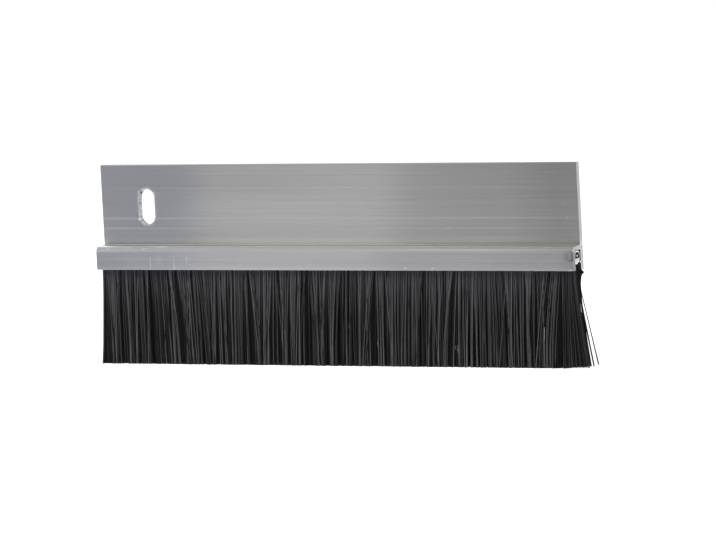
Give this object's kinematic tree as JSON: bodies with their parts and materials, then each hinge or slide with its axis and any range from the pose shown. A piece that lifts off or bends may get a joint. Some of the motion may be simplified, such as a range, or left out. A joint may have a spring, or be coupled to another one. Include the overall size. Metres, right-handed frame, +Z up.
{
  "type": "brush seal strip",
  "caption": "Aluminium carrier with an upright fixing slot, gripping a metal-backed strip of black bristle that seals the gap under or beside a door.",
  "frame": {"origin": "middle of the fixing slot, on the back face of the carrier", "axes": "+X along the strip towards the crimped end, +Y out of the back face into the door, +Z up, with the brush hanging down"},
  "size_m": [0.1613, 0.0061, 0.0567],
  "materials": {
    "mill_aluminium": "mill-finish extrusion with die lines along its length",
    "galvanised_steel": "bright zinc-coated strip and wire",
    "black_filament": "black nylon filament with a low sheen"
  },
  "bodies": {
    "root": {"carrier": "mill_aluminium", "backing_channel": "galvanised_steel", "core_wire": "galvanised_steel", "bristles": "black_filament", "stray_filaments": "black_filament"}
  },
  "joints": []
}
